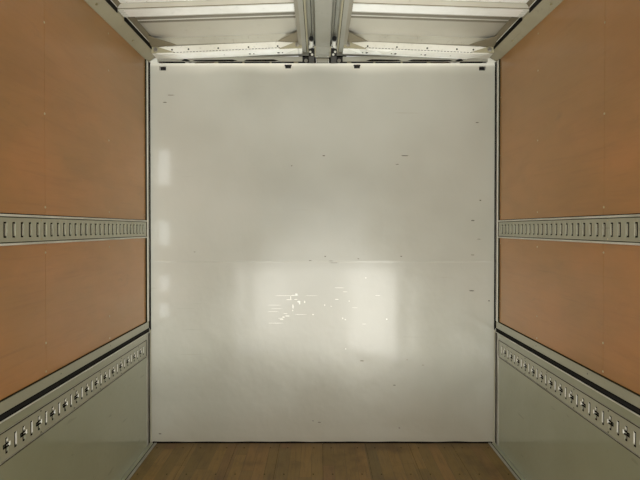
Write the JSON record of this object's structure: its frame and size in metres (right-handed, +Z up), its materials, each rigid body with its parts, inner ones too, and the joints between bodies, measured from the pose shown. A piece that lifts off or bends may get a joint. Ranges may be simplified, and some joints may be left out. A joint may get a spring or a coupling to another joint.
{
  "type": "gull-wing box truck load body",
  "caption": "Gull-wing load body of a box truck: hinged roof wings, drop side gates, rear doors, plywood lining, lashing rails and wood floor.",
  "frame": {"origin": "middle of the four chassis bolts, on the underside of the subframe sills", "axes": "+Y towards the front of the truck, +X to its right, +Z up"},
  "size_m": [2.506, 7.73, 3.057],
  "materials": {
    "frame_steel": "dull black chassis paint with road dirt",
    "floor_wood": "worn oiled hardwood staves",
    "bare_metal": "scuffed bare extrusion",
    "white_sheet": "semi-gloss off-white paint, dented and scratched",
    "white_frame": "semi-gloss white paint",
    "white_outside": "gloss white paint",
    "grey_paint": "satin warm grey paint",
    "black_paint": "satin black paint, oily",
    "lamp_plastic": "ribbed lamp lens",
    "roof_aluminium": "bright mill-finish sheet",
    "plywood": "orange-brown varnished plywood",
    "lashing_steel": "galvanised strip with slots",
    "black_rubber": "dusty black rubber",
    "gate_aluminium": "dull grey-green anodised extrusion",
    "fittings_steel": "bright zinc plating",
    "chromed_rod": "ground and chromed bar"
  },
  "bodies": {
    "root": {"subframe_sills": "frame_steel", "chassis_feet": "frame_steel", "cross_joists": "frame_steel", "floor_boards": "floor_wood", "side_rails": "bare_metal", "front_lining": "white_sheet", "front_frame": "white_frame", "front_panel": "white_outside", "rear_frame": "white_frame", "centre_beam": "grey_paint", "cylinder_brackets": "black_paint", "lamps": "lamp_plastic"},
    "wing_right": {"wing_roof_right": "roof_aluminium", "wing_rails_right": "grey_paint", "wing_side_right": "white_outside", "wing_lining_right": "plywood", "wing_lashing_rail_right": "lashing_steel", "wing_end_frames_right": "white_frame", "wing_seals_right": "black_rubber"},
    "gate_right": {"gate_panel_right": "gate_aluminium", "gate_lashing_rail_right": "lashing_steel", "gate_fittings_right": "fittings_steel"},
    "door_right": {"door_leaf_right": "white_outside", "door_hardware_right": "fittings_steel"},
    "wing_left": {"wing_roof_left": "roof_aluminium", "wing_rails_left": "grey_paint", "wing_side_left": "white_outside", "wing_lining_left": "plywood", "wing_lashing_rail_left": "lashing_steel", "wing_end_frames_left": "white_frame", "wing_seals_left": "black_rubber"},
    "gate_left": {"gate_panel_left": "gate_aluminium", "gate_lashing_rail_left": "lashing_steel", "gate_fittings_left": "fittings_steel"},
    "door_left": {"door_leaf_left": "white_outside", "door_hardware_left": "fittings_steel"},
    "barrel_front_right": {"barrel_front_right": "black_paint"},
    "rod_front_right": {"rod_front_right": "chromed_rod"},
    "barrel_front_left": {"barrel_front_left": "black_paint"},
    "rod_front_left": {"rod_front_left": "chromed_rod"},
    "barrel_rear_right": {"barrel_rear_right": "black_paint"},
    "rod_rear_right": {"rod_rear_right": "chromed_rod"},
    "barrel_rear_left": {"barrel_rear_left": "black_paint"},
    "rod_rear_left": {"rod_rear_left": "chromed_rod"}
  },
  "joints": [
    {"name": "wing_right_hinge", "type": "hinge", "parent": "root", "child": "wing_right", "pos_m": [0.06, 0, 3.045], "axis": [0, -1, 0], "range_deg": [0, 90]},
    {"name": "gate_right_hinge", "type": "hinge", "parent": "root", "child": "gate_right", "pos_m": [1.243, 0, 0.245], "axis": [0, 1, 0], "range_deg": [0, 180]},
    {"name": "door_right_hinge", "type": "hinge", "parent": "root", "child": "door_right", "pos_m": [1.24, -3.266, 1.5], "axis": [0, 0, -1], "range_deg": [-172, 90]},
    {"name": "wing_left_hinge", "type": "hinge", "parent": "root", "child": "wing_left", "pos_m": [-0.06, 0, 3.045], "axis": [0, 1, 0], "range_deg": [0, 90]},
    {"name": "gate_left_hinge", "type": "hinge", "parent": "root", "child": "gate_left", "pos_m": [-1.243, 0, 0.245], "axis": [0, -1, 0], "range_deg": [0, 180]},
    {"name": "door_left_hinge", "type": "hinge", "parent": "root", "child": "door_left", "pos_m": [-1.24, -3.266, 1.5], "axis": [0, 0, 1], "range_deg": [-172, 90]},
    {"name": "barrel_front_right_pivot", "type": "hinge", "parent": "root", "child": "barrel_front_right", "pos_m": [0.115, 3.15, 2.924], "axis": [0, -1, 0], "range_deg": [0, 86.47]},
    {"name": "rod_front_right_slide", "type": "slide", "parent": "barrel_front_right", "child": "rod_front_right", "axis": [1, 0, 0], "range_m": [0, 0.1787]},
    {"name": "barrel_front_left_pivot", "type": "hinge", "parent": "root", "child": "barrel_front_left", "pos_m": [-0.115, 3.15, 2.924], "axis": [0, 1, 0], "range_deg": [0, 86.47]},
    {"name": "rod_front_left_slide", "type": "slide", "parent": "barrel_front_left", "child": "rod_front_left", "axis": [-1, 0, 0], "range_m": [0, 0.1787]},
    {"name": "barrel_rear_right_pivot", "type": "hinge", "parent": "root", "child": "barrel_rear_right", "pos_m": [0.115, -3.15, 2.924], "axis": [0, -1, 0], "range_deg": [0, 86.47]},
    {"name": "rod_rear_right_slide", "type": "slide", "parent": "barrel_rear_right", "child": "rod_rear_right", "axis": [1, 0, 0], "range_m": [0, 0.1787]},
    {"name": "barrel_rear_left_pivot", "type": "hinge", "parent": "root", "child": "barrel_rear_left", "pos_m": [-0.115, -3.15, 2.924], "axis": [0, 1, 0], "range_deg": [0, 86.47]},
    {"name": "rod_rear_left_slide", "type": "slide", "parent": "barrel_rear_left", "child": "rod_rear_left", "axis": [-1, 0, 0], "range_m": [0, 0.1787]}
  ],
  "couplings": [
    {"joint": "barrel_front_right_pivot", "follows": "wing_right_hinge", "ratio": 0.95745},
    {"joint": "rod_front_right_slide", "follows": "wing_right_hinge", "m_per_rad": 0.11345},
    {"joint": "barrel_front_left_pivot", "follows": "wing_left_hinge", "ratio": 0.95745},
    {"joint": "rod_front_left_slide", "follows": "wing_left_hinge", "m_per_rad": 0.11345},
    {"joint": "barrel_rear_right_pivot", "follows": "wing_right_hinge", "ratio": 0.95745},
    {"joint": "rod_rear_right_slide", "follows": "wing_right_hinge", "m_per_rad": 0.11345},
    {"joint": "barrel_rear_left_pivot", "follows": "wing_left_hinge", "ratio": 0.95745},
    {"joint": "rod_rear_left_slide", "follows": "wing_left_hinge", "m_per_rad": 0.11345}
  ]
}
